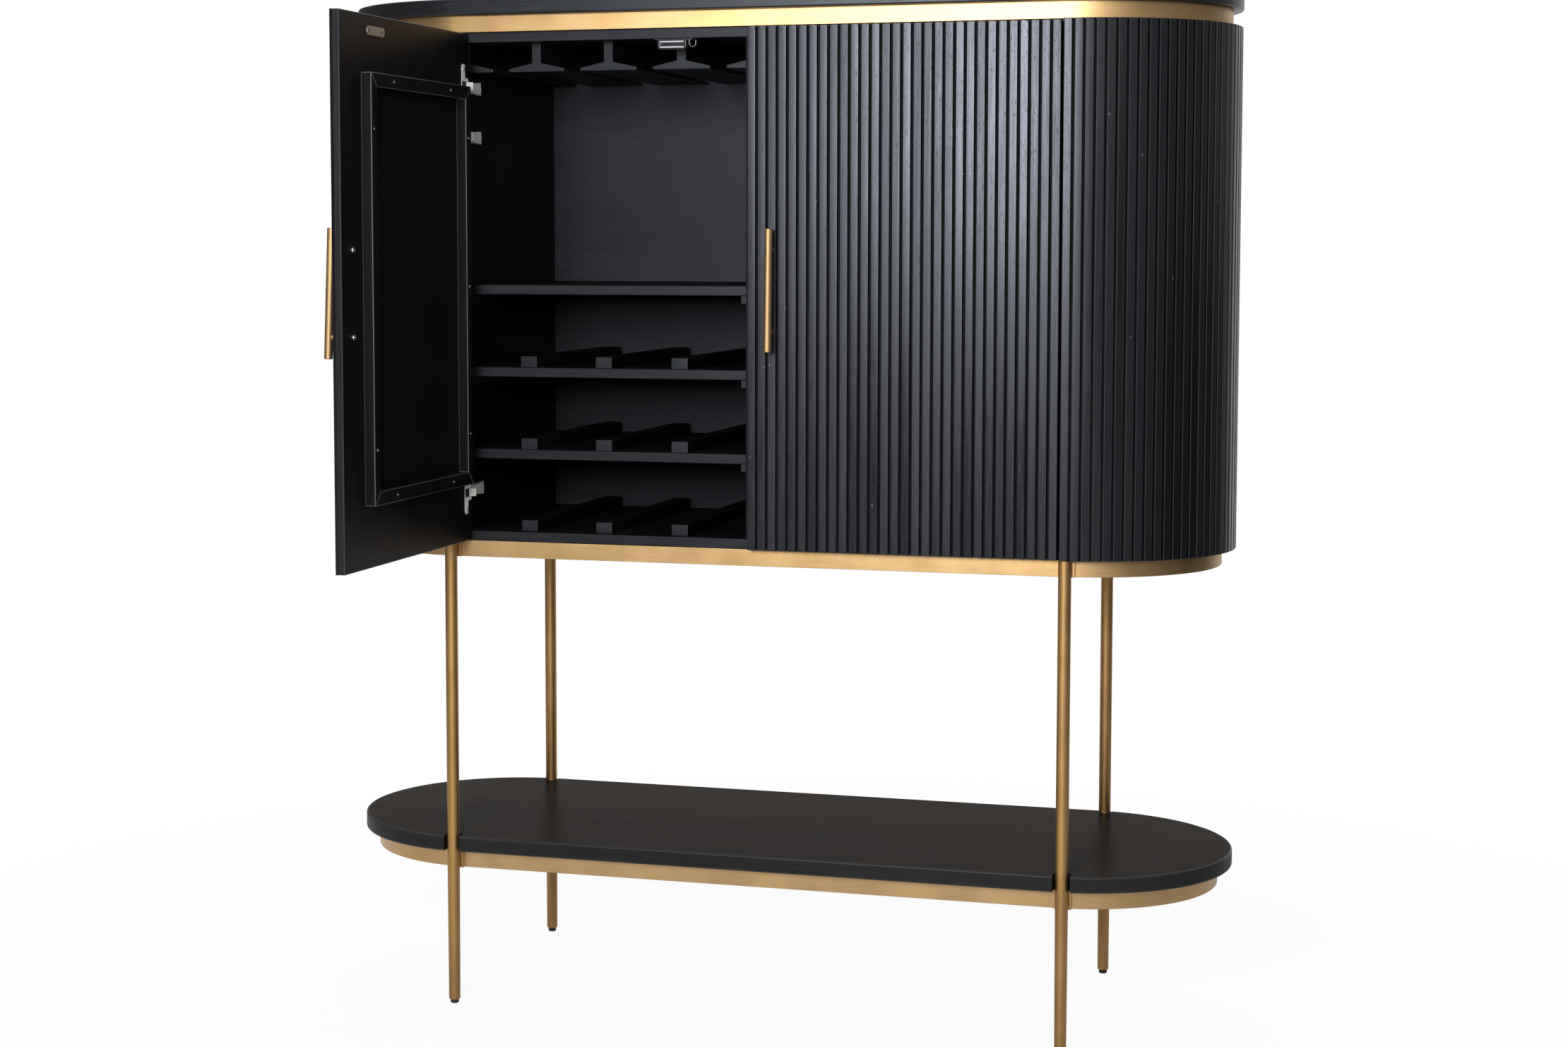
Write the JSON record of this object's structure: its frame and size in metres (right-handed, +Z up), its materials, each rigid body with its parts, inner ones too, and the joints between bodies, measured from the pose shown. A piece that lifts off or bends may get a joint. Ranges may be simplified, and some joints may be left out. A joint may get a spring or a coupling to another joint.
{
  "type": "bar cabinet",
  "caption": "Bar cabinet with round slatted ends and slatted doors, bottle and stemware racks inside, on tall brass-coloured tube legs with an open lower shelf.",
  "frame": {"origin": "on the floor, under the middle of the cabinet's plan", "axes": "+Z up, +X to the right seen from the front, -Y the front with the doors"},
  "size_m": [1.395, 0.9041, 1.549],
  "materials": {
    "charcoal_wood": "satin charcoal stain",
    "interior_wood": "satin charcoal stain",
    "satin_brass": "satin",
    "nickel": "nickel plated",
    "black_plastic": "matte"
  },
  "bodies": {
    "cabinet": {"back_panel": "interior_wood", "base_band": "satin_brass", "carcass_bottom": "interior_wood", "carcass_top": "interior_wood", "centre_divider": "interior_wood", "foot_caps": "black_plastic", "front_left_leg": "satin_brass", "front_right_leg": "satin_brass", "left_bottle_rails": "interior_wood", "left_catch": "nickel", "left_end_panel": "charcoal_wood", "left_end_slats": "charcoal_wood", "left_hinge_arms": "nickel", "left_lower_bottle_shelf": "interior_wood", "left_plain_shelf": "interior_wood", "left_shelf_cleats": "interior_wood", "left_side_panel": "interior_wood", "left_stemware_rails": "interior_wood", "left_upper_bottle_shelf": "interior_wood", "leg_pads": "satin_brass", "lower_shelf": "charcoal_wood", "rear_left_leg": "satin_brass", "rear_right_leg": "satin_brass", "right_bottle_rails": "interior_wood", "right_catch": "nickel", "right_end_panel": "charcoal_wood", "right_end_slats": "charcoal_wood", "right_hinge_arms": "nickel", "right_lower_bottle_shelf": "interior_wood", "right_plain_shelf": "interior_wood", "right_shelf_cleats": "interior_wood", "right_side_panel": "interior_wood", "right_stemware_rails": "interior_wood", "right_upper_bottle_shelf": "interior_wood", "shelf_band": "satin_brass", "top_band": "satin_brass", "top_slab": "charcoal_wood"},
    "left_door": {"left_door_frame": "charcoal_wood", "left_door_handle": "satin_brass", "left_door_panel": "charcoal_wood", "left_door_slats": "charcoal_wood", "left_handle_screws": "nickel", "left_hinge_cups": "nickel", "left_hinge_pins": "nickel", "left_strike_plate": "nickel"},
    "right_door": {"right_door_frame": "charcoal_wood", "right_door_handle": "satin_brass", "right_door_panel": "charcoal_wood", "right_door_slats": "charcoal_wood", "right_handle_screws": "nickel", "right_hinge_cups": "nickel", "right_hinge_pins": "nickel", "right_strike_plate": "nickel"}
  },
  "joints": [
    {"name": "left_door_hinge", "type": "hinge", "parent": "cabinet", "child": "left_door", "pos_m": [-0.4505, -0.2226, 1.112], "axis": [0, 0, -1], "range_deg": [-90.5, 9.5]},
    {"name": "right_door_hinge", "type": "hinge", "parent": "cabinet", "child": "right_door", "pos_m": [0.4505, -0.2226, 1.112], "axis": [0, 0, 1], "range_deg": [0, 100]}
  ]
}
